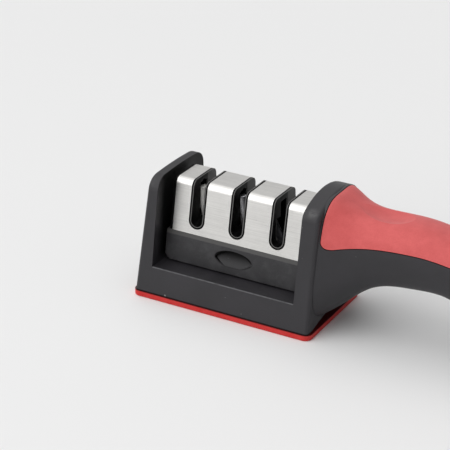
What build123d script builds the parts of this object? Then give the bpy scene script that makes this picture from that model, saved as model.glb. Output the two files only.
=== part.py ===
"""Pull-through knife sharpener: a cradle with a side handle, and a lift-out cassette with three slots.

Sizes are in millimetres. X runs from the free end to the handle, Y from front to back, Z up.
The origin lies on the table, under the middle of the red base pad.
"""

import os
from math import cos, pi, radians, sin, tan

from build123d import *

# Fits shared by several pieces
overrun = 20.0
fit_gap = 0.1
screw_gap = 0.05
locating_gap = 0.25
groove_gap = 0.35

# Base pad, the red foot under the whole head
pad_length = 82.4
pad_depth = 50.0
pad_thickness = 2.6
pad_corner_radius = 3.2
pad_edge_radius = 0.5
tread_groove_depth = 0.5
tread_groove_width = 1.6
tread_groove_pitch = 6.0
tread_margin = 10.0

# Housing, the black cradle with its two end walls
housing_inset = 0.4
housing_end_inset = 0.9
housing_lean = radians(6.6)
free_wall_lean = radians(3.2)
cradle_length = 65.6
cradle_floor_height = 14.4
cradle_floor_thickness = 2.4
free_wall_crown = 53.1
free_wall_shoulder = 52.3
free_wall_shoulder_radius = 6.5
handle_wall_crown = 57.3
handle_wall_shoulder = 52.2
handle_wall_shoulder_radius = 5.0
wall_edge_radius = 1.8
rail_edge_radius = 0.3
undercut_height = 3.4
undercut_width = 42.0
undercut_reach = 4.5
base_rib_thickness = 1.6

# Base cover, the black plate that closes the housing from below
cover_plate_length = 67.0
cover_plate_depth = 44.0
cover_plate_thickness = 1.8
cover_plate_corner_radius = 3.0
cover_plate_ledge = 2.0
base_screw_spacing_x = 50.0
base_screw_spacing_y = 30.0
base_screw_radius = 1.2
base_screw_head_radius = 2.3
base_screw_head_height = 1.0
base_screw_length = 8.0
base_boss_radius = 3.2

# Locating ribs and rest pads on the cradle floor
locating_rib_length = 4.0
locating_rib_height = 3.6
rest_pad_spacing_x = 56.0
rest_pad_spacing_y = 22.0
rest_pad_length = 3.0

# Handle, as shares of its length, of its top height and of its half width
handle_length = 125.0
handle_half_width = 14.2
handle_top_height = 52.0
handle_root_depth = 1.5
handle_ring_points = 16
station_shares = (0.0, 0.045, 0.09, 0.135, 0.20, 0.29, 0.37, 0.46, 0.56, 0.68, 0.80, 0.90, 0.965, 0.99, 1.0)
width_shares = (1.43, 1.30, 1.165, 1.075, 1.015, 0.985, 0.98, 1.0, 1.02, 1.005, 0.955, 0.87, 0.71, 0.50, 0.26)
top_shares = (1.085, 1.075, 1.025, 1.003, 1.0, 1.005, 0.985, 0.96, 0.935, 0.905, 0.87, 0.83, 0.785, 0.73, 0.69)
bottom_shares = (0.09, 0.17, 0.26, 0.352, 0.43, 0.462, 0.475, 0.43, 0.405, 0.42, 0.435, 0.435, 0.46, 0.52, 0.57)
waist_shares = (0.50, 0.50, 0.52, 0.55, 0.60, 0.62, 0.62, 0.62, 0.61, 0.60, 0.58, 0.56, 0.53, 0.51, 0.50)
square_shares = (4.0, 3.4, 2.9, 2.6, 2.4, 2.3, 2.25, 2.25, 2.3, 2.3, 2.3, 2.3, 2.2, 2.1, 2.0)
flare_shares = (0.30, 0.22, 0.12, 0.05, 0.0, 0.0, 0.0, 0.0, 0.0, 0.0, 0.0, 0.0, 0.0, 0.0, 0.0)
inner_stations = 13
hollow_start = 3.5
hollow_end_share = 0.88
hanging_hole_radius = 3.5
hanging_hole_share = 0.93

# Grip, the red insert on the top and the sides of the handle
grip_thickness = 2.4
grip_start = 0.7
grip_corner_radius = 3.0
border_x_shares = (0.055, 0.13, 0.20, 0.29, 0.36, 0.44, 0.57, 0.73, 0.80)
border_z_shares = (0.757, 0.795, 0.820, 0.834, 0.834, 0.814, 0.769, 0.724, 0.716)
grip_end_share = 0.86
grip_tail_radius = 5.0
dimple_radius = 30.0
dimple_depth = 1.5
dimple_share = 0.19

# Carrier, the hard shell under the grip, and the screws that hold it
carrier_thickness = 2.2
carrier_tongue = 3.0
carrier_boss_radius = 3.2
handle_boss_radius = 3.8
handle_boss_height = 34.0
handle_boss_roof = 2.2
handle_screw_shares = (0.30, 0.62)
handle_screw_radius = 1.4
handle_screw_head_radius = 2.6
handle_screw_head_height = 1.8
handle_screw_length = 14.0

# Cassette block, with the finger recesses
block_length = 63.6
block_bottom_height = 15.2
block_bottom_half_depth = 14.2
block_ledge_height = 26.4
block_ledge_half_depth = 13.0
block_top_height = 28.1
block_top_half_depth = 12.4
block_corner_chamfer = 2.0
block_roof = 2.2
block_cavity_length = 51.0
block_cavity_depth = 17.0
recess_length = 17.4
recess_low_height = 17.9
recess_high_height = 25.2
recess_tip_height = 21.4
recess_depth = 2.6
recess_hollow_share = 0.62

# Steel cover, a bent sheet over the cassette
sheet_length = 59.0
sheet_thickness = 0.8
sheet_foot_half_depth = 12.3
sheet_lean = radians(8.2)
sheet_top_height = 50.6
sheet_bend_radius = 3.0
sheet_least_bend = 0.3

# Slots, from the free end to the handle
slot_pitch = 18.6
slot_count = 3
slot_width = 7.4
slot_bottom_height = 30.4
lip_gap = 0.4
lip_thickness = 0.8

# Frame inside the steel cover, with a bay for each holder
frame_rim_thickness = 1.1
frame_rim_inset = 0.15
frame_wall = 1.4
bay_length = 15.8
cassette_screw_radius = 1.1
cassette_screw_head_radius = 2.0
cassette_screw_head_height = 1.6
cassette_screw_length = 19.0
cassette_screw_spacing_x = 56.0
cassette_screw_spacing_y = 13.0

# Abrasive rods, two that cross in each rod holder
rod_radius = 2.4
rod_lean = radians(16.0)
rod_crossing_height = 32.0
rod_low_height = 30.6
rod_high_height = 45.2
rod_spacing = 5.2
rod_pair_place = 1.55
rod_end_chamfer = 0.3
pocket_half_width = 5.7
pocket_length = 5.9
pocket_low_height = 33.0

# Carbide blades, two flat plates that cross in the third holder
blade_length = 10.0
blade_width = 4.0
blade_thickness = 1.5
blade_lean = radians(30.0)
blade_notch_height = 34.6
blade_low_reach = 3.2
blade_edge_chamfer = 0.3
blade_place = -3.4

# Blade keeper, the plate with a foot that closes the blades' bay from below
keeper_length = 14.0
keeper_thickness = 1.2
keeper_foot_height = 1.5
keeper_high_height = 41.6
keeper_slot_width = 5.6

# Places that several pieces share
cradle_half = cradle_length / 2
housing_half_length = pad_length / 2 - housing_end_inset
housing_foot = pad_depth / 2 - housing_inset
wall_thickness = housing_half_length - cradle_half
cavity_height = cradle_floor_height - cradle_floor_thickness
cover_plate_top = pad_thickness + cover_plate_thickness
handle_root = housing_half_length - handle_root_depth
handle_shell_thickness = grip_thickness - fit_gap
handle_screw_places = [handle_root + handle_length * share for share in handle_screw_shares]
slot_places = [slot_pitch * (index - (slot_count - 1) / 2) for index in range(slot_count)]
frame_inset = sheet_thickness + fit_gap
bay_inset = frame_inset + frame_wall
holder_inset = bay_inset + fit_gap
holder_length = bay_length - 2 * fit_gap
holder_top_height = sheet_top_height - holder_inset
frame_body_length = sheet_length + 2 * fit_gap
lip_width = slot_width - 2 * lip_gap
lip_bottom_height = slot_bottom_height + lip_gap
knife_slot_width = lip_width - 2 * lip_thickness
knife_slot_bottom = lip_bottom_height + lip_thickness
keeper_front = blade_place - 2 * blade_thickness - keeper_thickness
on_foot = (Align.CENTER, Align.CENTER, Align.MIN)


def housing_half_depth(height):
    """Half of the housing's depth at a height, on its leaning front and back."""
    return housing_foot - (height - pad_thickness) * tan(housing_lean)


def end_wall(place, crown, shoulder, shoulder_radius):
    """End wall of the cradle: leaning sides, rounded shoulders and a crowned top."""
    edge = housing_half_depth(shoulder)
    with BuildPart() as wall:
        with BuildSketch(Plane.YZ.offset(place)) as arch:
            with BuildLine():
                Polyline(
                    (-edge, shoulder),
                    (-housing_foot, pad_thickness),
                    (housing_foot, pad_thickness),
                    (edge, shoulder),
                )
                ThreePointArc((edge, shoulder), (0, crown), (-edge, shoulder))
            make_face()
            fillet(arch.vertices().group_by(Axis.Y)[-1], shoulder_radius)
        extrude(amount=wall_thickness)
    return wall.part


def handle_ring(index, inset):
    """Closed section of the handle at a station, drawn in by the inset all round."""
    half_width = handle_half_width * width_shares[index] - inset
    top = handle_top_height * top_shares[index] - inset
    bottom = handle_top_height * bottom_shares[index] + inset
    waist = bottom + (top - bottom) * waist_shares[index]
    power = 2 / square_shares[index]
    points = []
    for step in range(handle_ring_points):
        angle = 2 * pi * step / handle_ring_points
        across = abs(cos(angle)) ** power * (1 if cos(angle) > 0 else -1)
        along = abs(sin(angle)) ** power * (1 if sin(angle) > 0 else -1)
        height = waist + along * ((top - waist) if along > 0 else (waist - bottom))
        flare = 1 + flare_shares[index] * (waist - height) / (top - bottom)
        points.append((half_width * across * flare, height))
    with BuildSketch(Plane.YZ.offset(handle_root + handle_length * station_shares[index])) as ring:
        with BuildLine():
            Spline(*points, periodic=True)
        make_face()
    return ring.sketch


def handle_solid(inset, stations=inner_stations):
    """Loft of the handle through its stations, drawn in by the inset; inner forms end before the tail."""
    with BuildPart() as body:
        loft([handle_ring(index, inset) for index in range(stations)])
    return body.part


def grip_prism(drop, widen):
    """Side view of the grip carried through the handle; its border is lowered by drop, all moved out by widen."""
    start = housing_half_length + grip_start - widen
    end = handle_root + handle_length * grip_end_share + widen
    roof = handle_wall_crown + overrun
    border = [
        (handle_root + handle_length * x_share, handle_top_height * z_share - drop - widen)
        for x_share, z_share in zip(border_x_shares, border_z_shares)
    ]
    low = border[0][1]
    with BuildPart() as prism:
        with BuildSketch(Plane.XZ) as region:
            with BuildLine():
                Polyline(border[0], (start, low), (start, roof), (end, roof), (end, border[-1][1]), border[-1])
                Spline(*border)
            make_face()
            fillet(region.vertices().group_by(Axis.X)[0].sort_by(Axis.Y)[0], grip_corner_radius + widen)
            fillet(region.vertices().group_by(Axis.X)[-1].sort_by(Axis.Y)[0], grip_tail_radius)
        extrude(amount=pad_depth, both=True)
    return prism.part


def sheet_half_depth(height):
    """Half of the steel cover's depth at a height, on its leaning faces."""
    return sheet_foot_half_depth - (height - block_top_height) * tan(sheet_lean)


def cover_prism(place, length, inset, foot_height):
    """Upper form of the cassette around a place along X, drawn in by the inset on its sides and its top."""
    slant = inset / cos(sheet_lean)
    top_height = sheet_top_height - inset
    foot = sheet_half_depth(foot_height) - slant
    top = sheet_half_depth(top_height) - slant
    with BuildPart() as prism:
        with BuildSketch(Plane.YZ.offset(place)) as section:
            Polygon((-foot, foot_height), (foot, foot_height), (top, top_height), (-top, top_height), align=None)
            fillet(section.vertices().group_by(Axis.Y)[-1], max(sheet_bend_radius - inset, sheet_least_bend))
        extrude(amount=length / 2, both=True)
    return prism.part


def slot_prism(places, width, bottom):
    """Upright slots with round bottoms, open past the top of the cover and through its front and back."""
    height = sheet_top_height + overrun - bottom
    with BuildPart() as prism:
        with BuildSketch(Plane.XZ):
            with Locations(*[(place, bottom + height / 2) for place in places]):
                SlotOverall(height, width, rotation=90)
        extrude(amount=pad_depth, both=True)
    return prism.part


def rod_bar(slot_place, side, radius, high_height):
    """Round bar along a rod's line, from its low end up to a height; side is -1 in front, 1 behind."""
    low_x = slot_place + side * (rod_low_height - rod_crossing_height) * tan(rod_lean)
    depth = rod_pair_place + side * rod_spacing / 2
    place = Plane(origin=(low_x, depth, rod_low_height), z_dir=(side * sin(rod_lean), 0, cos(rod_lean)))
    with BuildPart(place) as bar:
        Cylinder(radius, (high_height - rod_low_height) / cos(rod_lean), align=on_foot)
    return bar.part


def blade(slot_place, side):
    """Flat blade with one cutting edge at the notch; side -1 leans left, in front, side 1 leans right, behind."""
    back = blade_place - (blade_thickness if side < 0 else 0)
    place = Plane(
        origin=(slot_place, back, blade_notch_height),
        x_dir=(cos(blade_lean), 0, -side * sin(blade_lean)),
        z_dir=(0, -1, 0),
    )
    with BuildPart() as plate:
        with BuildSketch(place) as face:
            with Locations((side * blade_width / 2, blade_length / 2 - blade_low_reach)):
                Rectangle(blade_width, blade_length)
            chamfer(face.vertices(), blade_edge_chamfer)
        extrude(amount=blade_thickness)
    return plate.part


def screw(place, radius, length, head_radius, head_height):
    """Screw with a cross slot; its head starts at the plane and its shank runs along the plane's normal."""
    with BuildPart(place) as body:
        Cylinder(head_radius, head_height, align=on_foot)
        Cylinder(radius, length, align=on_foot)
        Box(head_radius, head_height / 3, head_height / 2, align=on_foot, mode=Mode.SUBTRACT)
        Box(head_height / 3, head_radius, head_height / 2, align=on_foot, mode=Mode.SUBTRACT)
    return body.part


def base_screw_grid():
    """Places of the four screws of the base cover."""
    return GridLocations(base_screw_spacing_x, base_screw_spacing_y, 2, 2)


def cassette_screw_grid():
    """Places of the four screws of the cassette."""
    return GridLocations(cassette_screw_spacing_x, cassette_screw_spacing_y, 2, 2)


def slot_lip(slot_place):
    """Bar with the outline of a lip, as deep as the cassette, up to the steel's outer faces."""
    with BuildPart() as lip:
        add(slot_prism([slot_place], lip_width, lip_bottom_height))
        add(cover_prism(slot_place, slot_pitch, 0, block_top_height), mode=Mode.INTERSECT)
    return lip.part


def holder(slot_place, with_rods):
    """Black insert of one bay: a body with the knife slot, and the lip that lines the steel's slot."""
    with BuildPart() as insert:
        add(cover_prism(slot_place, holder_length, holder_inset, block_top_height))
        add(slot_lip(slot_place))
        add(slot_prism([slot_place], knife_slot_width, knife_slot_bottom), mode=Mode.SUBTRACT)
        for side in (-1, 1):
            depth = rod_pair_place + side * rod_spacing / 2
            with Locations((slot_place + side * pocket_half_width / 2, depth, pocket_low_height)):
                Box(
                    pocket_half_width,
                    pocket_length,
                    holder_top_height - pocket_low_height,
                    align=on_foot,
                    mode=Mode.SUBTRACT,
                )
            if with_rods:
                add(rod_bar(slot_place, side, rod_radius + screw_gap, holder_top_height), mode=Mode.SUBTRACT)
    return insert.part


def save(piece, name):
    """Label a finished piece and write it under its node's name."""
    piece.label = name
    export_step(piece, f"parts/{name}.step")


os.makedirs("parts", exist_ok=True)

# Base pad
tread_rows = int((pad_depth - 2 * tread_margin) / tread_groove_pitch) + 1
with BuildPart() as base_pad:
    with BuildSketch():
        RectangleRounded(pad_length, pad_depth, pad_corner_radius)
    extrude(amount=pad_thickness)
    fillet(base_pad.edges().group_by(Axis.Z)[0], pad_edge_radius)
    with BuildSketch():
        with GridLocations(0, tread_groove_pitch, 1, tread_rows):
            SlotOverall(pad_length - 2 * tread_margin, tread_groove_width)
    extrude(amount=tread_groove_depth, mode=Mode.SUBTRACT)
save(base_pad.part, "base_pad")

# Base cover, with a counterbore for each screw
with BuildPart() as base_cover:
    with BuildSketch(Plane.XY.offset(pad_thickness)):
        RectangleRounded(cover_plate_length, cover_plate_depth, cover_plate_corner_radius)
    extrude(amount=cover_plate_thickness)
    with Locations(Plane(origin=(0, 0, pad_thickness), z_dir=(0, 0, -1))):
        with base_screw_grid():
            CounterBoreHole(
                base_screw_radius + fit_gap,
                base_screw_head_radius + fit_gap,
                base_screw_head_height + fit_gap,
                cover_plate_thickness,
            )
save(base_cover.part, "base_cover")

# Base screws
with BuildPart() as base_screws:
    with base_screw_grid():
        add(
            screw(
                Plane.XY.offset(pad_thickness + fit_gap),
                base_screw_radius,
                base_screw_length,
                base_screw_head_radius,
                base_screw_head_height,
            )
        )
save(base_screws.part, "base_screws")

# Free end wall of the housing, with its outer face leaning inward
lean_top = free_wall_crown + overrun
lean_in = (lean_top - pad_thickness) * tan(free_wall_lean)
with BuildPart() as free_wall:
    add(end_wall(-housing_half_length, free_wall_crown, free_wall_shoulder, free_wall_shoulder_radius))
    with BuildSketch(Plane.XZ):
        Polygon(
            (-housing_half_length, pad_thickness),
            (-housing_half_length + lean_in, lean_top),
            (-housing_half_length - overrun, lean_top),
            (-housing_half_length - overrun, pad_thickness),
            align=None,
        )
    extrude(amount=pad_depth, both=True, mode=Mode.SUBTRACT)
    fillet(free_wall.faces().sort_by(Axis.X)[0].edges().sort_by(Axis.Z)[1:], wall_edge_radius)

# Handle-side end wall of the housing
with BuildPart() as handle_wall:
    add(end_wall(cradle_half, handle_wall_crown, handle_wall_shoulder, handle_wall_shoulder_radius))
    fillet(handle_wall.faces().sort_by(Axis.X)[-1].edges().sort_by(Axis.Z)[1:], wall_edge_radius)

# Lower half of the handle, an open trough with a solid tail and two screw bosses
handle_form = handle_solid(0, len(station_shares))
hollow_low = housing_half_length + hollow_start
hollow_high = handle_root + handle_length * hollow_end_share
with BuildPart() as hollow:
    with Locations(((hollow_low + hollow_high) / 2, 0, handle_top_height / 2)):
        Box(hollow_high - hollow_low, pad_depth, handle_top_height)
    add(handle_solid(handle_shell_thickness), mode=Mode.INTERSECT)
with BuildPart() as bosses:
    with Locations(*[(place, 0, 0) for place in handle_screw_places]):
        Cylinder(handle_boss_radius, handle_boss_height, align=on_foot)
    add(handle_form, mode=Mode.INTERSECT)
with BuildPart() as trough:
    add(handle_form)
    add(grip_prism(0, groove_gap), mode=Mode.SUBTRACT)
    add(hollow.part, mode=Mode.SUBTRACT)
    add(bosses.part)

# Housing
with BuildPart() as housing:
    add(free_wall.part)
    add(handle_wall.part)
    rail_half = housing_half_depth(cradle_floor_height)
    with BuildSketch(Plane.YZ.offset(-cradle_half)) as rail_section:
        Polygon(
            (-housing_foot, pad_thickness),
            (housing_foot, pad_thickness),
            (rail_half, cradle_floor_height),
            (-rail_half, cradle_floor_height),
            align=None,
        )
        fillet(rail_section.vertices().group_by(Axis.Y)[-1], rail_edge_radius)
    extrude(amount=cradle_length)
    add(trough.part)
    # Seat of the cover, and the cavity above it with ribs and screw bosses
    with BuildSketch(Plane.XY.offset(pad_thickness)):
        RectangleRounded(
            cover_plate_length + 2 * fit_gap,
            cover_plate_depth + 2 * fit_gap,
            cover_plate_corner_radius + fit_gap,
        )
    extrude(amount=cover_plate_thickness, mode=Mode.SUBTRACT)
    cavity_length = cover_plate_length - 2 * cover_plate_ledge
    cavity_depth = cover_plate_depth - 2 * cover_plate_ledge
    with BuildSketch(Plane.XY.offset(cover_plate_top)):
        RectangleRounded(cavity_length, cavity_depth, cover_plate_corner_radius)
        Rectangle(cavity_length, base_rib_thickness, mode=Mode.SUBTRACT)
        Rectangle(base_rib_thickness, cavity_depth, mode=Mode.SUBTRACT)
        with base_screw_grid():
            Circle(base_boss_radius, mode=Mode.SUBTRACT)
    extrude(amount=cavity_height - cover_plate_top, mode=Mode.SUBTRACT)
    with BuildSketch(Plane.XY.offset(cover_plate_top)):
        with base_screw_grid():
            Circle(base_screw_radius + screw_gap)
    extrude(amount=base_screw_length - base_screw_head_height, mode=Mode.SUBTRACT)
    # Locating ribs and rest pads for the cassette
    rib_spacing = block_cavity_length - 2 * locating_gap - locating_rib_length
    with BuildSketch(Plane.XY.offset(cradle_floor_height)):
        with GridLocations(rib_spacing, 0, 2, 1):
            Rectangle(locating_rib_length, block_cavity_depth - 2 * locating_gap)
    extrude(amount=locating_rib_height)
    with BuildSketch(Plane.XY.offset(cradle_floor_height)):
        with GridLocations(rest_pad_spacing_x, rest_pad_spacing_y, 2, 2):
            Rectangle(rest_pad_length, rest_pad_length)
    extrude(amount=block_bottom_height - cradle_floor_height)
    # Arched relief under the handle's end
    with BuildSketch(Plane.YZ.offset(housing_half_length)):
        with BuildLine():
            Line((-undercut_width / 2, pad_thickness), (undercut_width / 2, pad_thickness))
            ThreePointArc(
                (-undercut_width / 2, pad_thickness),
                (0, pad_thickness + undercut_height),
                (undercut_width / 2, pad_thickness),
            )
        make_face()
    extrude(amount=-undercut_reach, mode=Mode.SUBTRACT)
    # Screw wells from below, and the hanging hole through the tail
    with BuildSketch():
        with Locations(*[(place, 0) for place in handle_screw_places]):
            Circle(handle_screw_head_radius + fit_gap)
    extrude(amount=handle_boss_height - handle_boss_roof, mode=Mode.SUBTRACT)
    with BuildSketch():
        with Locations(*[(place, 0) for place in handle_screw_places]):
            Circle(handle_screw_radius + fit_gap)
        with Locations((handle_root + handle_length * hanging_hole_share, 0)):
            Circle(hanging_hole_radius)
    extrude(amount=handle_top_height, mode=Mode.SUBTRACT)
save(housing.part, "housing")

# Grip
dimple_place = handle_root + handle_length * dimple_share
with BuildPart() as grip:
    add(handle_form)
    add(grip_prism(0, 0), mode=Mode.INTERSECT)
    add(handle_solid(grip_thickness), mode=Mode.SUBTRACT)
    with Locations((dimple_place, 0, handle_top_height + dimple_radius - dimple_depth)):
        Sphere(dimple_radius, mode=Mode.SUBTRACT)
save(grip.part, "grip")

# Carrier under the grip, with a boss for each handle screw
carrier_form = handle_solid(grip_thickness + fit_gap)
with BuildPart() as carrier_bosses:
    with Locations(*[(place, 0, handle_boss_height + fit_gap) for place in handle_screw_places]):
        Cylinder(carrier_boss_radius, handle_top_height, align=on_foot)
    add(carrier_form, mode=Mode.INTERSECT)
with BuildPart() as grip_carrier:
    add(carrier_form)
    add(grip_prism(carrier_tongue, -fit_gap), mode=Mode.INTERSECT)
    with Locations(((hollow_low + hollow_high) / 2, 0, handle_top_height)):
        Box(hollow_high - hollow_low - 2 * fit_gap, pad_depth, 2 * handle_top_height, mode=Mode.INTERSECT)
    add(handle_solid(grip_thickness + fit_gap + carrier_thickness), mode=Mode.SUBTRACT)
    add(carrier_bosses.part)
    with Locations(*[(place, 0, handle_boss_height) for place in handle_screw_places]):
        Cylinder(
            handle_screw_radius + screw_gap,
            handle_screw_length - handle_boss_roof,
            align=on_foot,
            mode=Mode.SUBTRACT,
        )
save(grip_carrier.part, "grip_carrier")

# Handle screws
screw_start = handle_boss_height - handle_boss_roof - handle_screw_head_height
with BuildPart() as handle_screws:
    with Locations(*[(place, 0, screw_start) for place in handle_screw_places]):
        add(
            screw(
                Plane.XY,
                handle_screw_radius,
                handle_screw_length,
                handle_screw_head_radius,
                handle_screw_head_height,
            )
        )
save(handle_screws.part, "handle_screws")

# Finger recess of the block: a lens in the front view, deepest under its upper edge
with BuildPart() as recess:
    with BuildSketch(Plane.XZ):
        with BuildLine():
            tip = recess_length / 2
            ThreePointArc((-tip, recess_tip_height), (0, recess_high_height), (tip, recess_tip_height))
            ThreePointArc((-tip, recess_tip_height), (0, recess_low_height), (tip, recess_tip_height))
        make_face()
    extrude(amount=block_bottom_half_depth + overrun)
    recess_floor = block_ledge_half_depth - recess_depth
    recess_mid_height = (recess_low_height + recess_high_height) / 2
    recess_mid = block_bottom_half_depth + (recess_floor - block_bottom_half_depth) * recess_hollow_share
    with BuildSketch(Plane.YZ):
        with BuildLine():
            ThreePointArc(
                (-block_bottom_half_depth, recess_low_height),
                (-recess_mid, recess_mid_height),
                (-recess_floor, recess_high_height),
            )
            Polyline(
                (-recess_floor, recess_high_height),
                (-block_bottom_half_depth - overrun, recess_high_height),
                (-block_bottom_half_depth - overrun, recess_low_height),
                (-block_bottom_half_depth, recess_low_height),
            )
        make_face()
    extrude(amount=recess_length, both=True, mode=Mode.INTERSECT)
    mirror(about=Plane.XZ)

# Cassette block
with BuildPart() as cassette_block:
    with BuildSketch(Plane.YZ):
        Polygon(
            (-block_bottom_half_depth, block_bottom_height),
            (block_bottom_half_depth, block_bottom_height),
            (block_ledge_half_depth, block_ledge_height),
            (block_top_half_depth, block_top_height),
            (-block_top_half_depth, block_top_height),
            (-block_ledge_half_depth, block_ledge_height),
            align=None,
        )
    extrude(amount=block_length / 2, both=True)
    chamfer(cassette_block.edges().filter_by(Axis.Y).group_by(Axis.Z)[0], block_corner_chamfer)
    add(recess.part, mode=Mode.SUBTRACT)
    with Locations((0, 0, block_bottom_height)):
        Box(
            block_cavity_length,
            block_cavity_depth,
            block_top_height - block_roof - block_bottom_height,
            align=on_foot,
            mode=Mode.SUBTRACT,
        )
    with Locations(Plane(origin=(0, 0, block_bottom_height), z_dir=(0, 0, -1))):
        with cassette_screw_grid():
            CounterBoreHole(
                cassette_screw_radius + fit_gap,
                cassette_screw_head_radius + fit_gap,
                cassette_screw_head_height + fit_gap,
                block_top_height - block_bottom_height,
            )
save(cassette_block.part, "cassette_block")

# Cassette screws
with BuildPart() as cassette_screws:
    with cassette_screw_grid():
        add(
            screw(
                Plane.XY.offset(block_bottom_height + fit_gap),
                cassette_screw_radius,
                cassette_screw_length,
                cassette_screw_head_radius,
                cassette_screw_head_height,
            )
        )
save(cassette_screws.part, "cassette_screws")

# Frame, with end rims, bays and the lips' slots
with BuildPart() as cassette_frame:
    add(cover_prism(0, frame_body_length, frame_inset, block_top_height))
    for side in (-1, 1):
        rim_place = side * (frame_body_length + frame_rim_thickness) / 2
        add(cover_prism(rim_place, frame_rim_thickness, frame_rim_inset, block_top_height))
    for place in slot_places:
        add(cover_prism(place, bay_length, bay_inset, block_bottom_height), mode=Mode.SUBTRACT)
    add(
        slot_prism(slot_places, lip_width + 2 * fit_gap, lip_bottom_height - fit_gap),
        mode=Mode.SUBTRACT,
    )
    with BuildSketch(Plane.XY.offset(block_top_height)):
        with cassette_screw_grid():
            Circle(cassette_screw_radius + screw_gap)
    pilot_depth = cassette_screw_length - (block_top_height - block_bottom_height) + cassette_screw_radius
    extrude(amount=pilot_depth, mode=Mode.SUBTRACT)
save(cassette_frame.part, "cassette_frame")

# Steel cover
with BuildPart() as steel_cover:
    add(cover_prism(0, sheet_length, 0, block_top_height))
    add(cover_prism(0, sheet_length, sheet_thickness, block_bottom_height), mode=Mode.SUBTRACT)
    add(slot_prism(slot_places, slot_width, slot_bottom_height), mode=Mode.SUBTRACT)
save(steel_cover.part, "steel_cover")

# Rod holders and their rods, from the free end
rod_side_names = {-1: "left", 1: "right"}
for slot_place, material in zip(slot_places, ("ceramic", "diamond")):
    save(holder(slot_place, True), f"{material}_holder")
    for side, side_name in rod_side_names.items():
        with BuildPart() as rod:
            add(rod_bar(slot_place, side, rod_radius, rod_high_height))
            chamfer(rod.edges().filter_by(GeomType.CIRCLE), rod_end_chamfer)
        save(rod.part, f"{material}_rod_{side_name}")

# Carbide holder, with a bay for the blades that opens downward
carbide_place = slot_places[-1]
with BuildPart() as carbide_holder:
    add(holder(carbide_place, False))
    with Locations((carbide_place, (blade_place + keeper_front) / 2, block_top_height)):
        Box(
            keeper_length + 2 * fit_gap,
            blade_place - keeper_front + fit_gap,
            keeper_high_height - block_top_height + fit_gap,
            align=on_foot,
            mode=Mode.SUBTRACT,
        )
save(carbide_holder.part, "carbide_holder")

# Carbide blades
for side, side_name in rod_side_names.items():
    save(blade(carbide_place, side), f"carbide_blade_{side_name}")

# Blade keeper
with BuildPart() as blade_keeper:
    with Locations((carbide_place, keeper_front, block_top_height)):
        Box(
            keeper_length,
            keeper_thickness,
            keeper_high_height - block_top_height,
            align=(Align.CENTER, Align.MIN, Align.MIN),
        )
        Box(
            keeper_length,
            blade_place - keeper_front,
            keeper_foot_height,
            align=(Align.CENTER, Align.MIN, Align.MIN),
        )
    add(slot_prism([carbide_place], keeper_slot_width, knife_slot_bottom - fit_gap), mode=Mode.SUBTRACT)
save(blade_keeper.part, "blade_keeper")
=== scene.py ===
"""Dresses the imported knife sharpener: finishes for every piece, detailed screws, and a plain studio.

All lengths are in metres. X runs from the free end to the handle, Y from front to back, Z up,
and the origin lies on the table under the middle of the red base pad.
"""

from __future__ import annotations

import logging
from dataclasses import dataclass, field
from enum import Enum
from math import pi, radians
from typing import Any, ClassVar

import bpy
import numpy as np
from mathutils import Matrix, Vector


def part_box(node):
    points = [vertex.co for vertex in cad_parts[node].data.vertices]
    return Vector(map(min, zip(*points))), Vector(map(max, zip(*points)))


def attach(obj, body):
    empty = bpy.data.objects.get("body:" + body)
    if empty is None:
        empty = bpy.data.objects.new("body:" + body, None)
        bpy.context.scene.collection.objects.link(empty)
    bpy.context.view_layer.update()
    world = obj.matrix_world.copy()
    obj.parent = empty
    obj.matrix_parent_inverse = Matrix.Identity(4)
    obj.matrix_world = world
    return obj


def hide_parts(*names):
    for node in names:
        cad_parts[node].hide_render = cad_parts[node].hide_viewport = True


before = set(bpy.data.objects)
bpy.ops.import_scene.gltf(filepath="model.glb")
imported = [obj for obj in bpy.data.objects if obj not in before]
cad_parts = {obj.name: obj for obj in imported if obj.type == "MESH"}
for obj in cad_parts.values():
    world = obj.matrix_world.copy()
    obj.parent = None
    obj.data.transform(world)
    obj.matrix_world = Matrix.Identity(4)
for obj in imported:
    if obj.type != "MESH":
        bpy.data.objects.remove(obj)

LOG = logging.getLogger("sharpener")
MM = 0.001

Values = dict[str, Any]
Colour = tuple[float, float, float]


class Body(str, Enum):
    """The two bodies of the sharpener that move against each other."""

    BASE = "base"
    CASSETTE = "cassette"


class Slot(str, Enum):
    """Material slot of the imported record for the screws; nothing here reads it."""

    SCREW_STEEL = "screw_steel"


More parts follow.
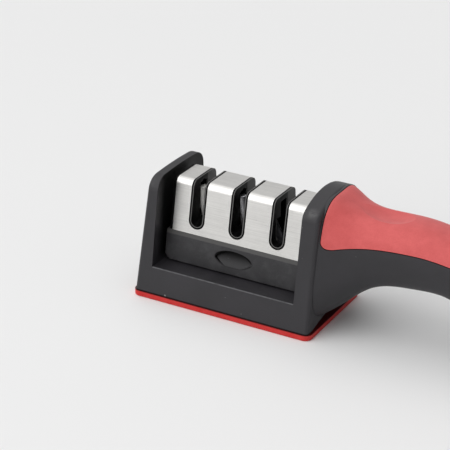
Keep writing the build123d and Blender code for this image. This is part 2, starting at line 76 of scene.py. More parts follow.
class Wire:
    """A shader socket that takes part in Python sums; each sum adds one Math node."""

    def __init__(self, graph: Graph, socket: bpy.types.NodeSocket) -> None:
        """Keep the socket and the graph that it belongs to."""
        self.graph = graph
        self.socket = socket

    def math(self, operation: str, *operands: Wire | float) -> Wire:
        """Add a Math node.

        Args:
            operation: Name of the Math node's operation.
            operands: Its inputs in order, as wires or numbers.

        Returns:
            The node's result.
        """
        return self.graph.node("ShaderNodeMath", {"operation": operation}, dict(enumerate(operands)))

    def size(self) -> Wire:
        """This value without its sign."""
        return self.math("ABSOLUTE", self)

    def larger(self, other: Wire | float) -> Wire:
        """The larger of two values."""
        return self.math("MAXIMUM", self, other)

    def __add__(self, other: Wire | float) -> Wire:
        """Sum of two values."""
        return self.math("ADD", self, other)

    def __radd__(self, other: float) -> Wire:
        """Sum of a number and this value."""
        return self.math("ADD", other, self)

    def __sub__(self, other: Wire | float) -> Wire:
        """Difference of two values."""
        return self.math("SUBTRACT", self, other)

    def __rsub__(self, other: float) -> Wire:
        """Difference of a number and this value."""
        return self.math("SUBTRACT", other, self)

    def __mul__(self, other: Wire | float) -> Wire:
        """Product of two values."""
        return self.math("MULTIPLY", self, other)

    def __rmul__(self, other: float) -> Wire:
        """Product of a number and this value."""
        return self.math("MULTIPLY", other, self)

    def __truediv__(self, other: Wire | float) -> Wire:
        """Quotient of two values."""
        return self.math("DIVIDE", self, other)

    def between(self, low: float, high: float) -> Wire:
        """Smooth step of this value.

        Args:
            low: Value at which the step is 0.
            high: Value at which the step is 1.

        Returns:
            A value from 0 to 1.
        """
        settings = {"interpolation_type": "SMOOTHSTEP"}
        values = {"Value": self, "From Min": low, "From Max": high, "To Min": 0.0, "To Max": 1.0}
        return self.graph.node("ShaderNodeMapRange", settings, values)


class Graph:
    """Nodes of one material or of the world, added by a single method."""

    def __init__(self, tree: bpy.types.NodeTree) -> None:
        """Start from an empty tree."""
        self.tree = tree
        tree.nodes.clear()

    def node(
        self,
        kind: str,
        settings: Values | None = None,
        values: Values | None = None,
        output: int | str = 0,
    ) -> Wire:
        """Add a node.

        Args:
            kind: Blender's type name of the node.
            settings: Properties that are set first.
            values: Numbers, colours or wires for its input sockets, by name or index.
            output: Name or index of the output that is returned.

        Returns:
            The wire of that output, or of no socket where the node has none.
        """
        made = self.tree.nodes.new(kind)
        for key, value in (settings or {}).items():
            setattr(made, key, value)
        for key, value in (values or {}).items():
            if isinstance(value, Wire):
                self.tree.links.new(value.socket, made.inputs[key])
            else:
                made.inputs[key].default_value = value
        return Wire(self, made.outputs[output] if len(made.outputs) else None)

    def place(self) -> Wire:
        """Object coordinates, which are the sharpener's own metres."""
        return self.node("ShaderNodeTexCoord", output="Object")

    def split(self, vector: Wire) -> tuple[Wire, Wire, Wire]:
        """The three parts of a vector."""
        first = self.node("ShaderNodeSeparateXYZ", values={"Vector": vector})
        return tuple(Wire(self, socket) for socket in first.socket.node.outputs)

    def stretched(self, vector: Wire, scale: Colour) -> Wire:
        """Coordinates multiplied by one factor along each axis."""
        return self.node("ShaderNodeMapping", values={"Vector": vector, "Scale": scale})

    def noise(self, vector: Wire, scale: float, detail: float = 2.0, roughness: float = 0.5) -> Wire:
        """Soft noise from 0 to 1.

        Args:
            vector: Coordinates that it reads.
            scale: Its blobs per metre.
            detail: How many finer layers it has.
            roughness: How strong the finer layers are.

        Returns:
            The noise value.
        """
        values = {"Vector": vector, "Scale": scale, "Detail": detail, "Roughness": roughness}
        return self.node("ShaderNodeTexNoise", values=values)

    def distance(self, vector: Wire, place: Colour) -> Wire:
        """Distance from a place, in metres."""
        settings = {"operation": "DISTANCE"}
        return self.node("ShaderNodeVectorMath", settings, {0: vector, 1: place}, output="Value")

    def cells(self, vector: Wire, scale: float, output: str = "Distance") -> Wire:
        """Cells scattered evenly, as the distance from each cell's point or its random colour."""
        return self.node("ShaderNodeTexVoronoi", values={"Vector": vector, "Scale": scale}, output=output)

    def blend(self, share: Wire, first: Colour | Wire, second: Colour | Wire) -> Wire:
        """Mix of two colours, the second one by the share."""
        tints = {
            key: value if isinstance(value, Wire) else (*value, 1.0)
            for key, value in {6: first, 7: second}.items()
        }
        return self.node("ShaderNodeMix", {"data_type": "RGBA"}, {0: share, **tints}, output=2)

    def bump(self, height: Wire, depth: float, strength: float = 1.0) -> Wire:
        """Normal of a surface with that relief, depth metres deep."""
        values = {"Height": height, "Distance": depth, "Strength": strength}
        return self.node("ShaderNodeBump", values=values, output="Normal")


@dataclass(frozen=True)
class Finish:
    """A surface finish; each kind of finish fills in the sockets that vary over the surface."""

    name: str
    colour: Colour
    roughness: float

    fixed: ClassVar[Values] = {}
    made: ClassVar[dict[str, bpy.types.Material]] = {}

    def varied(self, graph: Graph) -> Values:
        """Wires of the shader's sockets that vary over the surface."""
        raise NotImplementedError

    def material(self) -> bpy.types.Material:
        """Make the material once, and give it again for every later piece.

        It is kept here and not looked up in the file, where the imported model's plain
        materials have names of their own.
        """
        if self.name not in self.made:
            self.made[self.name] = self._shader()
        return self.made[self.name]

    def _shader(self) -> bpy.types.Material:
        """New material with the finish's constants and its varied wires."""
        material = bpy.data.materials.new(self.name)
        material.use_nodes = True
        graph = Graph(material.node_tree)
        plain = {"Base Color": (*self.colour, 1.0), "Roughness": self.roughness}
        values = {**plain, **self.fixed, **self.varied(graph)}
        shader = graph.node("ShaderNodeBsdfPrincipled", values=values)
        graph.node("ShaderNodeOutputMaterial", values={"Surface": shader})
        return material


@dataclass(frozen=True)
class RubAndHighlight:
    """A small pale place on the plastic, used for rubbed wear and for painted highlights."""

    place: Colour
    radius: float
    strength: float


@dataclass(frozen=True)
class MouldedPlastic(Finish):
    """Black plastic with a fine eroded grain, slow changes of tone, a few dust specks, rubbed places and
    painted highlights.
    """

    grain_size: float = 0.22 * MM
    grain_depth: float = 0.012 * MM
    tone_size: float = 14 * MM
    tone_change: float = 0.35
    speck_spacing: float = 3.1 * MM
    speck_radius_share: float = 0.032
    speck_colour: Colour = (0.45, 0.45, 0.45)
    speck_strength: float = 0.4
    tone_roughness: float = 0.12
    speck_roughness: float = 0.2
    rub_and_highlight_colour: Colour = (0.2, 0.2, 0.2)
    patch_core_share: float = 0.2
    unlit_colour: Colour = (0.004, 0.004, 0.004)
    rubs_and_highlights: tuple[RubAndHighlight, ...] = ()

    def tinted(self, graph: Graph, place: Wire, colour: Wire) -> Wire:
        """Colour with the piece's own marks; plain surfaces have none."""
        return colour

    def shaded(self, graph: Graph, place: Wire) -> Wire | None:
        """Share from 0 to 1 of painted shade in places that hold no light; none on plain surfaces."""
        return None

    def varied(self, graph: Graph) -> Values:
        """Tone from soft noise, specks from scattered cells, rubbed places and painted highlights from
        distances, relief from fine noise.
        """
        place = graph.place()
        tone = graph.noise(place, 1 / self.tone_size, 4.0, 0.6).between(0.3, 0.7)
        dark = tuple(part * (1 - self.tone_change / 2) for part in self.colour)
        light = tuple(part * (1 + self.tone_change / 2) for part in self.colour)
        body = graph.blend(tone, dark, light)
        speck = 1 - graph.cells(place, 1 / self.speck_spacing).between(
            self.speck_radius_share, 2 * self.speck_radius_share
        )
        rare = graph.noise(place, 1 / (3 * self.speck_spacing)).between(0.52, 0.6)
        dusty = speck * rare
        grain = graph.noise(place, 1 / self.grain_size, 3.0)
        colour = graph.blend(dusty * self.speck_strength, body, self.speck_colour)
        # pale patches: rubbed wear, a chip, and a painted highlight on the left wall's shoulder
        for patch in self.rubs_and_highlights:
            far = graph.distance(place, patch.place)
            patchy = graph.noise(place, 2 / patch.radius, 4.0, 0.7).between(0.35, 0.65)
            near = far.between(patch.radius, self.patch_core_share * patch.radius)
            share = near * (patchy * 0.7 + 0.3) * patch.strength
            colour = graph.blend(share, colour, self.rub_and_highlight_colour)
        colour = self.tinted(graph, place, colour)
        values = {
            "Base Color": colour,
            "Roughness": self.roughness + (tone - 0.5) * self.tone_roughness + dusty * self.speck_roughness,
            "Normal": graph.bump(grain, self.grain_depth),
        }
        # painted shade: the colour goes towards unlit_colour and the surface turns metallic, which takes
        # away its diffuse light
        shade = self.shaded(graph, place)
        if shade:
            values["Base Color"] = graph.blend(shade, colour, self.unlit_colour)
            values["Metallic"] = shade
        return values


@dataclass(frozen=True)
class CradlePlastic(MouldedPlastic):
    """The housing's plastic, with a painted highlight on the rail's edge and painted shade above the pad and
    beside the cassette.
    """

    seam_low: float = 2.6 * MM
    seam_high: float = 3.2 * MM
    cradle_half: float = 32.8 * MM
    rail_top: float = 14.4 * MM
    rail_edge: float = -22.85 * MM
    rail_highlight_colour: Colour = (0.075, 0.075, 0.08)
    rail_patch: float = 2.5 * MM
    gap_front: float = -20.5 * MM
    gap_back: float = -13.5 * MM
    gap_rise: float = 4 * MM
    gap_shade_strength: float = 0.9

    def tinted(self, graph: Graph, place: Wire, colour: Wire) -> Wire:
        """Painted highlight: a fine pale line along the front edge of the rail, broken by noise."""
        x, y, z = graph.split(place)
        inside = x.size().between(self.cradle_half, self.cradle_half - 0.3 * MM)
        front = y.between(self.rail_edge, self.rail_edge - 0.12 * MM)
        high = z.between(self.rail_top - 0.5 * MM, self.rail_top - 0.28 * MM)
        low = z.between(self.rail_top + 0.2 * MM, self.rail_top + 0.1 * MM)
        broken = graph.noise(place, 1 / self.rail_patch, 3.0).between(0.3, 0.55) * 0.5 + 0.5
        return graph.blend(inside * front * high * low * broken, colour, self.rail_highlight_colour)

    def shaded(self, graph: Graph, place: Wire) -> Wire | None:
        """Painted shade in the seam above the pad, and on the walls' inner faces beside the cassette."""
        x, y, z = graph.split(place)
        seam = z.between(self.seam_high, self.seam_low)
        across = x.size()
        face = across.between(self.cradle_half + 0.12 * MM, self.cradle_half + 0.02 * MM)
        above = z.between(self.rail_top, self.rail_top + self.gap_rise)
        deep = y.between(self.gap_front, self.gap_back) * above
        gap_shade = face * deep * across.between(self.cradle_half - 0.2 * MM, self.cradle_half - 0.05 * MM)
        return seam.larger(gap_shade * self.gap_shade_strength)


@dataclass(frozen=True)
class ScoopedPlastic(MouldedPlastic):
    """The block's dusty plastic, pale on its ledge, with painted shade in each finger recess that is darkest
    under its upper lid.
    """

    middle: float = 21.6 * MM
    half_length: float = 8.9 * MM
    half_height: float = 3.8 * MM
    ledge: float = 26.4 * MM
    ledge_colour: Colour = (0.05, 0.048, 0.046)
    dust_colour: Colour = (0.05, 0.05, 0.052)
    cloud_size: float = 7 * MM
    cloud_strength: float = 0.55
    powder_size: float = 0.7 * MM
    powder_strength: float = 0.25
    ledge_strength: float = 0.8
    lid_shade_strength: float = 0.62
    bowl_shade_strength: float = 0.35

    def tinted(self, graph: Graph, place: Wire, colour: Wire) -> Wire:
        """Cloudy dust on the faces and a paler ledge."""
        cloud = graph.noise(place, 1 / self.cloud_size, 6.0, 0.7).between(0.42, 0.78)
        powder = graph.noise(place, 1 / self.powder_size, 4.0, 0.7).between(0.45, 0.8)
        dust = cloud * self.cloud_strength + powder * self.powder_strength
        dusty = graph.blend(dust, colour, self.dust_colour)
        above = graph.split(place)[2].between(self.ledge, self.ledge + 0.25 * MM)
        return graph.blend(above * self.ledge_strength, dusty, self.ledge_colour)

    def shaded(self, graph: Graph, place: Wire) -> Wire | None:
        """Painted shade inside the recess's oval, which grows towards its upper lid."""
        across, _, height = graph.split(place)
        up = (height - self.middle) / self.half_height
        along = across / self.half_length
        inside = (along * along + up * up).between(1.02, 0.86)
        return inside * (up.between(-0.7, 0.55) * self.lid_shade_strength + self.bowl_shade_strength)


@dataclass(frozen=True)
class LipPlastic(MouldedPlastic):
    """Holder plastic, painted blacker than the housing's as shade for the slots' insides, with a fine
    painted highlight line round the lip of each slot.
    """

    slot_pitch: float = 18.6 * MM
    slot_centre: float = 34.1 * MM
    line_inner: float = 2.7 * MM
    line_outer: float = 2.98 * MM
    lip_highlight_colour: Colour = (0.125, 0.122, 0.118)
    line_soft: float = 0.06 * MM
    wall_inner: float = 2.56 * MM
    wall_outer: float = 2.62 * MM
    wall_shade_strength: float = 0.85
    lip_shade_strength: float = 0.9
    tongue_front: float = 1.9 * MM
    tongue_soft: float = 0.3 * MM
    tongue_low: float = 38 * MM
    tongue_high: float = 44 * MM
    tongue_lit_colour: Colour = (0.062, 0.06, 0.059)

    fixed: ClassVar[Values] = {"Specular IOR Level": 0.32}

    def _reach(self, graph: Graph, place: Wire) -> Wire:
        """Distance from the slot's middle line, which ends at the centre of the slot's round bottom."""
        x, _, z = graph.split(place)
        turns = x / self.slot_pitch
        across = x - turns.math("ROUND", turns) * self.slot_pitch
        below = self.slot_centre - z
        down = below.larger(0.0)
        squares = across * across + down * down
        return squares.math("SQRT", squares)

    def tinted(self, graph: Graph, place: Wire, colour: Wire) -> Wire:
        """Painted highlight in the middle of the lip, and painted light on the slot walls behind the rods.
        """
        reach = self._reach(graph, place)
        begins = reach.between(self.line_inner - self.line_soft, self.line_inner)
        ends = reach.between(self.line_outer, self.line_outer - self.line_soft)
        _, y, z = graph.split(place)
        # painted light: the upper slot walls behind the rods are tinted paler
        back = y.between(self.tongue_front, self.tongue_front + self.tongue_soft)
        behind = back * reach.between(self.wall_outer, self.wall_inner)
        upper = z.between(self.tongue_low, self.tongue_high)
        walls = graph.blend(behind * upper, colour, self.tongue_lit_colour)
        return graph.blend(begins * ends, walls, self.lip_highlight_colour)

    def shaded(self, graph: Graph, place: Wire) -> Wire | None:
        """Painted shade on the slot walls in front of the rods and on the lip outside its line."""
        reach = self._reach(graph, place)
        _, y, _ = graph.split(place)
        ahead = y.between(self.tongue_front + self.tongue_soft, self.tongue_front)
        front = ahead * reach.between(self.wall_outer, self.wall_inner)
        outer = reach.between(self.line_outer, self.line_outer + self.line_soft)
        return (front * self.wall_shade_strength).larger(outer * self.lip_shade_strength)


@dataclass(frozen=True)
class SoftRubber(Finish):
    """Matt red soft plastic with a faint mottle and a powdery grain."""

    grain_size: float = 0.3 * MM
    grain_depth: float = 0.01 * MM
    mottle_size: float = 5 * MM
    grain_roughness: float = 0.15
    dark_share: float = 0.93
    light_share: float = 1.05
    light_lift: float = 0.02
    shadow_band_low: float | None = None
    shadow_band_soft: float = 0.2 * MM
    shadow_band_share: float = 0.12

    fixed: ClassVar[Values] = {"Sheen Weight": 0.12, "Sheen Roughness": 0.5}

    def varied(self, graph: Graph) -> Values:
        """Mottle and grain from noise at two sizes, and an optional band of painted shadow."""
        place = graph.place()
        mottle = graph.noise(place, 1 / self.mottle_size, 5.0, 0.65)
        grain = graph.noise(place, 1 / self.grain_size, 3.0)
        dark = tuple(part * self.dark_share for part in self.colour)
        light = tuple(min(part * self.light_share + self.light_lift, 1.0) for part in self.colour)
        colour = graph.blend((mottle * 0.6 + grain * 0.4).between(0.3, 0.7), dark, light)
        # painted shadow: a dark band along the top of the pad's side, where the housing sits on it
        if self.shadow_band_low:
            edge = graph.split(place)[2].between(self.shadow_band_low, self.shadow_band_low + self.shadow_band_soft)
            colour = graph.blend(edge, colour, tuple(part * self.shadow_band_share for part in self.colour))
        return {
            "Base Color": colour,
            "Roughness": self.roughness + (grain - 0.5) * self.grain_roughness,
            "Normal": graph.bump(grain, self.grain_depth),
        }


@dataclass(frozen=True)
class FirmRubber(SoftRubber):
    """The pad's denser rubber, without the powdery sheen."""

    fixed: ClassVar[Values] = {"Specular IOR Level": 0.2}


@dataclass(frozen=True)
class BrushedSteel(Finish):
    """Stainless sheet brushed along X, with smudges that dull it here and there."""

    streak_length: float = 22 * MM
    streak_width: float = 0.16 * MM
    streak_depth: float = 0.003 * MM
    smudge_size: float = 9 * MM
    smudge_roughness: float = 0.09
    streak_roughness: float = 0.16
    film_size: float = 4.95 * MM
    film_strength: float = 0.3
    film_share: float = 0.8

    fixed: ClassVar[Values] = {"Metallic": 1.0}

    def varied(self, graph: Graph) -> Values:
        """Streaks from noise drawn out along X; smudges and a thin film from soft noise."""
        place = graph.place()
        lengthwise, crosswise = 1 / self.streak_length, 1 / self.streak_width
        drawn = graph.stretched(place, (lengthwise, crosswise, crosswise))
        streak = graph.noise(drawn, 1.0, 3.0, 0.6)
        smudge = graph.noise(place, 1 / self.smudge_size, 4.0, 0.55).between(0.4, 0.75)
        film = graph.noise(place, 1 / self.film_size, 5.0, 0.65).between(0.35, 0.75)
        dark = tuple(part * 0.86 for part in self.colour)
        light = tuple(min(part * 1.07, 1.0) for part in self.colour)
        brushed = graph.blend(streak.between(0.25, 0.75), dark, light)
        filmed = tuple(part * self.film_share for part in self.colour)
        uneven = (streak - 0.5) * self.streak_roughness + smudge * self.smudge_roughness
        return {
            "Base Color": graph.blend(film * self.film_strength, brushed, filmed),
            "Roughness": self.roughness + uneven,
            "Normal": graph.bump(streak, self.streak_depth),
        }


@dataclass(frozen=True)
class WhiteCeramic(Finish):
    """Pale fired ceramic with a fine matt grain and faint grey rubbing marks."""

    grain_size: float = 0.15 * MM
    grain_depth: float = 0.004 * MM
    mark_size: float = 1.6 * MM
    mark_strength: float = 0.5

    def varied(self, graph: Graph) -> Values:
        """Grain and rubbing marks from noise at two sizes."""
        place = graph.place()
        marks = graph.noise(place, 1 / self.mark_size, 4.0).between(0.55, 0.85)
        grain = graph.noise(place, 1 / self.grain_size, 2.0)
        worn = tuple(part * 0.72 for part in self.colour)
        return {
            "Base Color": graph.blend(marks * self.mark_strength, self.colour, worn),
            "Roughness": self.roughness + (grain - 0.5) * 0.2,
            "Normal": graph.bump(grain, self.grain_depth),
        }


@dataclass(frozen=True)
class DiamondCoat(Finish):
    """Nickel plating that holds fine abrasive grains, each one facing its own way."""

    grit_size: float = 0.14 * MM
    grit_depth: float = 0.03 * MM

    fixed: ClassVar[Values] = {"Metallic": 0.85}

    def varied(self, graph: Graph) -> Values:
        """Grains from scattered cells: their distance gives the relief, their random colour the glint."""
        place = graph.place()
        near = graph.cells(place, 1 / self.grit_size)
        glint = graph.split(graph.cells(place, 1 / self.grit_size, "Color"))[0]
        dark = tuple(part * 0.55 for part in self.colour)
        light = tuple(min(part * 1.5, 1.0) for part in self.colour)
        return {
            "Base Color": graph.blend(glint, dark, light),
            "Roughness": self.roughness + (glint - 0.5) * 0.3,
            "Normal": graph.bump(1 - near, self.grit_depth),
        }


@dataclass(frozen=True)
class GroundMetal(Finish):
    """Bare metal with fine grinding lines across Z and small tone changes."""

    line_width: float = 0.08 * MM
    line_length: float = 4 * MM
    line_depth: float = 0.002 * MM

    fixed: ClassVar[Values] = {"Metallic": 1.0}

    def varied(self, graph: Graph) -> Values:
        """Grinding lines from noise drawn out in X and Y."""
        place = graph.place()
        drawn = graph.stretched(place, (1 / self.line_length, 1 / self.line_length, 1 / self.line_width))
        lines = graph.noise(drawn, 1.0, 3.0, 0.6)
        dark = tuple(part * 0.8 for part in self.colour)
        return {
            "Base Color": graph.blend(lines.between(0.3, 0.7), dark, self.colour),
            "Roughness": self.roughness + (lines - 0.5) * 0.2,
            "Normal": graph.bump(lines, self.line_depth),
        }


HOUSING_BLACK = CradlePlastic(
    "housing_black",
    (0.0175, 0.0162, 0.0195),
    0.52,
    rubs_and_highlights=(
        RubAndHighlight((36.5 * MM, -17.4 * MM, 53.4 * MM), 3.4 * MM, 0.3),
        # painted highlight on the left wall's rounded shoulder; the other two are rubbed wear and a chip
        RubAndHighlight((-37.2 * MM, -17.0 * MM, 50.6 * MM), 4.0 * MM, 0.14),
        RubAndHighlight((-25.7 * MM, -24.6 * MM, 3.3 * MM), 0.6 * MM, 1.6),
    ),
)
BLOCK_BLACK = ScoopedPlastic("block_black", (0.0165, 0.0155, 0.018), 0.46, grain_depth=0.006 * MM)
# painted shade: the holders get a darker, less shiny copy of the black plastic for the dark insides of the
# slots
HOLDER_SHADED_BLACK = LipPlastic("holder_shaded_black", (0.008, 0.0075, 0.009), 0.5)
GRIP_RED = SoftRubber("grip_red", (0.60, 0.078, 0.076), 0.6)
PAD_RED = FirmRubber("pad_red", (0.53, 0.024, 0.022), 0.55, shadow_band_low=2.25 * MM)
COVER_STEEL = BrushedSteel("cover_brushed", (0.715, 0.705, 0.685), 0.3)
ROD_CERAMIC = WhiteCeramic("rod_ceramic", (0.8, 0.79, 0.75), 0.45)
ROD_DIAMOND = DiamondCoat("rod_diamond", (0.42, 0.42, 0.43), 0.45)
BLADE_CARBIDE = GroundMetal("blade_carbide", (0.13, 0.13, 0.14), 0.34)
SCREW_ZINC = GroundMetal("screw_zinc", (0.62, 0.61, 0.58), 0.34)


def dress_nodes(finish: Finish, *names: str) -> None:
    """Give CAD nodes a finish.

    Args:
        finish: The finish that they get.
        names: The nodes' names.
    """
    for name in names:
        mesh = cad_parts[name].data
        mesh.materials.clear()
        mesh.materials.append(finish.material())
        LOG.info("node %s dressed in %s", name, finish.name)


def closed_grid(name: str, sheets: list[np.ndarray]) -> bpy.types.Object:
    """Make one mesh of closed surfaces that are each a grid of rings between two poles.

    A grid has shape (rings, steps, 3). Each ring closes on itself, and the first and the last
    ring shrink to a point, so that every surface is closed.

    Args:
        name: The object's name.
        sheets: The grids, all of one shape.

    Returns:
        The object, at the origin and smooth.
    """
    rings, steps = sheets[0].shape[:2]
    index = np.arange(rings * steps).reshape(rings, steps)
    ahead = np.roll(index, -1, axis=1)
    quads = np.stack([index[:-1], ahead[:-1], ahead[1:], index[1:]], axis=-1).reshape(-1, 4)
    vertices = np.concatenate([sheet.reshape(-1, 3) for sheet in sheets])
    faces = np.concatenate([quads + rings * steps * number for number in range(len(sheets))])
    mesh = bpy.data.meshes.new(name)
    mesh.from_pydata(vertices.tolist(), [], faces.tolist())
    mesh.validate()
    made = bpy.data.objects.new(name, mesh)
    bpy.context.scene.collection.objects.link(made)
    weld = made.modifiers.new("close the poles", "WELD")
    weld.merge_threshold = 0.0005 * MM
    mesh.shade_smooth()
    return made


@dataclass
class Housing:
    """The cradle with its handle, the plate that closes it from below and the grip's carrier."""

    nodes: tuple[str, ...] = ("housing", "base_cover", "grip_carrier")

    def build(self) -> None:
        """Dress the moulded black pieces."""
        dress_nodes(HOUSING_BLACK, *self.nodes)


@dataclass
class SoftParts:
    """The red grip and the red foot pad."""

    grip: str = "grip"
    pad: str = "base_pad"

    def build(self) -> None:
        """Dress the grip and the pad."""
        dress_nodes(GRIP_RED, self.grip)
        dress_nodes(PAD_RED, self.pad)


@dataclass
class Cassette:
    """The lift-out insert: block, frame, steel cover, holders and abrasives."""

    outer_nodes: tuple[str, ...] = ("cassette_block",)
    inner_nodes: tuple[str, ...] = (
        "cassette_frame",
        "ceramic_holder",
        "diamond_holder",
        "carbide_holder",
        "blade_keeper",
    )
    sides: tuple[str, ...] = ("left", "right")

    def build(self) -> None:
        """Dress the pieces of the insert."""
        dress_nodes(BLOCK_BLACK, *self.outer_nodes)
        dress_nodes(HOLDER_SHADED_BLACK, *self.inner_nodes)
        dress_nodes(COVER_STEEL, "steel_cover")
        for side in self.sides:
            dress_nodes(ROD_CERAMIC, f"ceramic_rod_{side}")
            dress_nodes(ROD_DIAMOND, f"diamond_rod_{side}")
            dress_nodes(BLADE_CARBIDE, f"carbide_blade_{side}")


@dataclass
class ScrewSet:
    """Identical self-tapping screws that stand for one CAD node, with heads down and threads up."""

    node: str
    body: Body
    columns: int
    rows: int
    head_radius: float
    head_height: float
    shank_radius: float
    pitch: float
    cross_share: float = 0.62
    arm_share: float = 0.17
    flat_share: float = 0.86
    recess_share: float = 0.55
    rim_share: float = 0.3
    core_share: float = 0.74
    crest_share: float = 0.55
    run_out_share: float = 0.06
    tip_share: float = 0.16
    steps: int = 48
    rings_per_turn: int = 10
    head_rings: int = 14

    def _places(self) -> np.ndarray:
        """Centres of the screws, spread evenly between the ends of the node's box."""
        low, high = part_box(self.node)
        across = np.linspace(low.x + self.head_radius, high.x - self.head_radius, self.columns)
        if self.rows == 1:
            deep = np.array([(low.y + high.y) / 2])
        else:
            deep = np.linspace(low.y + self.head_radius, high.y - self.head_radius, self.rows)
        return np.stack(np.meshgrid(across, deep), axis=-1).reshape(-1, 2)

    def _surface(self) -> np.ndarray:
        """Rings of one screw from the middle of its head to its tip.

        The head is a flat disc with a rounded rim. Its cross recess lowers the disc by the
        product of two smooth steps, one across each arm. The shank's radius at an angle and a
        height is the core radius plus the thread's depth times a triangle wave of the height
        over the pitch less the angle over a full turn, and it shrinks to a point at the tip.

        Returns:
            An array of shape (rings, steps, 3) about the screw's own axis, head at height 0.
        """
        low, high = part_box(self.node)
        length = high.z - low.z
        angle = np.linspace(0, 2 * pi, self.steps, endpoint=False)[None, :]
        disc = np.linspace(0, 1, self.head_rings)[:, None] ** 0.8
        radius = disc * self.head_radius * self.flat_share
        x, y = radius * np.cos(angle), radius * np.sin(angle)
        arm = self.head_radius * self.arm_share
        reach = self.head_radius * self.cross_share
        thin = np.minimum(np.abs(x), np.abs(y))
        long = np.maximum(np.abs(x), np.abs(y))
        beside = np.clip((arm * 1.4 - thin) / (arm * 0.8), 0, 1)
        sunk = beside * np.clip((reach - long) / (reach * 0.25), 0, 1)
        disc_height = sunk * self.head_height * self.recess_share
        head = np.stack([x, y, disc_height], axis=-1)
        bend = np.linspace(0, pi / 2, 5)[1:, None]
        rim_radius = self.head_radius * (self.flat_share + (1 - self.flat_share) * np.sin(bend))
        rim_height = self.head_height * self.rim_share * (1 - np.cos(bend))
        rim = self._rings(rim_radius, rim_height, angle)
        core = self.shank_radius * self.core_share
        neck = self._rings(
            np.array([[self.head_radius], [core]]),
            np.array([[self.head_height], [self.head_height]]),
            angle,
        )
        turns = (length - self.head_height) / self.pitch
        along = np.linspace(0, 1, int(turns * self.rings_per_turn) + 2)[1:, None]
        climb = along * (length - self.head_height)
        phase = (climb / self.pitch - angle / (2 * pi)) % 1.0
        crest = np.clip(1 - np.abs(2 * phase - 1) / self.crest_share, 0, 1)
        run_out = np.clip(along / self.run_out_share, 0, 1)
        taper = np.clip((1 - along) / self.tip_share, 0, 1) ** 0.7
        thread_radius = (core + (self.shank_radius - core) * crest * run_out) * taper
        thread = self._rings(thread_radius, self.head_height + climb + 0 * angle, angle)
        return np.concatenate([head, rim, neck, thread])

    @staticmethod
    def _rings(radius: np.ndarray, height: np.ndarray, angle: np.ndarray) -> np.ndarray:
        """Rings at radii and heights around the screw's axis."""
        radius, height, angle = np.broadcast_arrays(radius, height, angle)
        return np.stack([radius * np.cos(angle), radius * np.sin(angle), height], axis=-1)

    def build(self) -> None:
        """Place a copy of the screw's surface at each centre, as one piece."""
        low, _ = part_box(self.node)
        surface = self._surface()[::-1]
        sheets = [surface + np.array([x, y, low.z]) for x, y in self._places()]
        made = closed_grid(f"{self.node}_threaded", sheets)
        made.data.materials.append(SCREW_ZINC.material())
        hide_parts(self.node)
        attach(made, self.body.value)
        LOG.info("piece %s: %d screws", made.name, len(sheets))


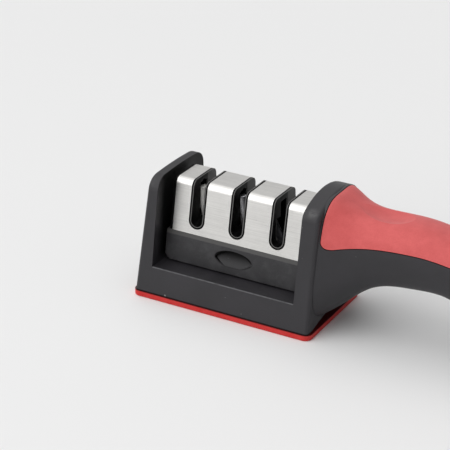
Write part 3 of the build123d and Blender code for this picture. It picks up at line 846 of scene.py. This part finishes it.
@dataclass
class Studio:
    """Pale floor, soft lamps and the camera at the photograph's angle."""

    pale: Colour = (0.823, 0.823, 0.823)
    ambient: float = 0.46
    ambient_tilt: float = 1.0
    ambient_side: Colour = (-0.82, -0.35, 0.45)
    mirrored: float = 0.68
    floor_size: float = 6.0
    floor_drop: float = 0.02 * MM
    focal_length: float = 138.99
    sensor: float = 36.0
    camera_place: Vector = field(default_factory=lambda: Vector((0.293811, -0.584801, 0.334699)))
    camera_right: Vector = field(default_factory=lambda: Vector((0.880133, 0.473887, 0.028229)))
    camera_up: Vector = field(default_factory=lambda: Vector((-0.221689, 0.357698, 0.907142)))
    camera_ahead: Vector = field(default_factory=lambda: Vector((-0.419786, 0.804663, -0.419877)))

    def _floor(self) -> None:
        """Flat floor that keeps the sharpener's shadow."""
        half = self.floor_size / 2
        mesh = bpy.data.meshes.new("floor")
        corners = [(-half, -half), (half, -half), (half, half), (-half, half)]
        mesh.from_pydata([(x, y, -self.floor_drop) for x, y in corners], [], [(0, 1, 2, 3)])
        floor = bpy.data.objects.new("floor", mesh)
        bpy.context.scene.collection.objects.link(floor)
        material = bpy.data.materials.new("floor_pale")
        material.use_nodes = True
        graph = Graph(material.node_tree)
        shader = graph.node("ShaderNodeBsdfDiffuse", values={"Color": (*self.pale, 1.0)})
        graph.node("ShaderNodeOutputMaterial", values={"Surface": shader})
        mesh.materials.append(material)

    def _world(self) -> None:
        """World that lights softly, most of all from the front left, behind a plain pale backdrop."""
        world = bpy.data.worlds.new("studio")
        world.use_nodes = True
        graph = Graph(world.node_tree)
        parts = graph.split(graph.node("ShaderNodeTexCoord", output="Generated"))
        facing = sum(part * weight for part, weight in zip(parts, self.ambient_side))
        tilted = facing * self.ambient_tilt + 1
        strength = tilted.math("MAXIMUM", tilted, 0.05) * self.ambient
        camera = graph.node("ShaderNodeLightPath", output="Is Camera Ray")
        glossy = Wire(graph, camera.socket.node.outputs["Is Glossy Ray"])
        white = (1.0, 1.0, 1.0, 1.0)
        light = graph.node("ShaderNodeBackground", values={"Color": white, "Strength": strength})
        mirror = graph.node("ShaderNodeBackground", values={"Color": white, "Strength": self.mirrored})
        backdrop = graph.node("ShaderNodeBackground", values={"Color": (*self.pale, 1.0), "Strength": 1.0})
        lit = graph.node("ShaderNodeMixShader", values={0: glossy, 1: light, 2: mirror})
        mixed = graph.node("ShaderNodeMixShader", values={0: camera, 1: lit, 2: backdrop})
        graph.node("ShaderNodeOutputWorld", values={"Surface": mixed})
        bpy.context.scene.world = world

    @staticmethod
    def _sun(name: str, towards: Vector, strength: float, spread: float) -> None:
        """Soft distant lamp.

        Args:
            name: The lamp's name.
            towards: Direction from the object to the lamp.
            strength: Its light on a surface that faces it.
            spread: How wide it looks from the object, in radians.
        """
        lamp = bpy.data.lights.new(name, "SUN")
        lamp.energy = strength
        lamp.angle = spread
        holder = bpy.data.objects.new(name, lamp)
        holder.rotation_euler = (-towards).to_track_quat("-Z", "Y").to_euler()
        bpy.context.scene.collection.objects.link(holder)

    @staticmethod
    def _softbox(
        name: str,
        place: Vector,
        target: Vector,
        size: tuple[float, float],
        radiance: float,
    ) -> None:
        """Broad rectangular lamp that the steel's bend mirrors.

        Args:
            name: The lamp's name.
            place: Where it stands.
            target: The point that it faces.
            size: Its width and height.
            radiance: How bright its face looks.
        """
        lamp = bpy.data.lights.new(name, "AREA")
        lamp.shape = "RECTANGLE"
        lamp.size, lamp.size_y = size
        lamp.energy = radiance * pi * size[0] * size[1]
        holder = bpy.data.objects.new(name, lamp)
        holder.location = place
        holder.rotation_euler = (target - place).to_track_quat("-Z", "Y").to_euler()
        bpy.context.scene.collection.objects.link(holder)

    def _camera(self) -> None:
        """Camera with the photograph's place, turn and lens."""
        lens = bpy.data.cameras.new("camera")
        lens.sensor_width = self.sensor
        lens.lens = self.focal_length
        lens.clip_start = 0.01
        camera = bpy.data.objects.new("camera", lens)
        turn = Matrix((self.camera_right, self.camera_up, -self.camera_ahead)).transposed()
        camera.matrix_world = Matrix.Translation(self.camera_place) @ turn.to_4x4()
        bpy.context.scene.collection.objects.link(camera)
        bpy.context.scene.camera = camera

    def build(self) -> None:
        """Make the floor, the world, the lamps and the camera."""
        bpy.context.scene.view_settings.view_transform = "Standard"
        self._floor()
        self._world()
        self._sun("key", Vector((-0.30, -0.62, 0.85)), 0.75, radians(60))
        self._sun("top", Vector((-0.2, 0.15, 1.0)), 0.62, radians(70))
        place, target = Vector((-0.5, -1.0, 0.41)), Vector((0.0, 0.0, 0.03))
        self._softbox("softbox", place, target, (1.0, 0.5), 1.5)
        self._camera()
        LOG.info("studio ready")


def main() -> None:
    """Build the sub-assemblies in order and report each one."""
    logging.basicConfig(level=logging.INFO, format="%(name)s: %(message)s")
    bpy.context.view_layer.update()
    Studio().build()
    Housing().build()
    SoftParts().build()
    Cassette().build()
    ScrewSet("base_screws", Body.BASE, 2, 2, 2.3 * MM, 1.0 * MM, 1.2 * MM, 1.0 * MM).build()
    ScrewSet("handle_screws", Body.BASE, 2, 1, 2.6 * MM, 1.8 * MM, 1.4 * MM, 1.2 * MM).build()
    ScrewSet("cassette_screws", Body.CASSETTE, 2, 2, 2.0 * MM, 1.6 * MM, 1.1 * MM, 0.9 * MM).build()


if __name__ == "__main__":
    main()
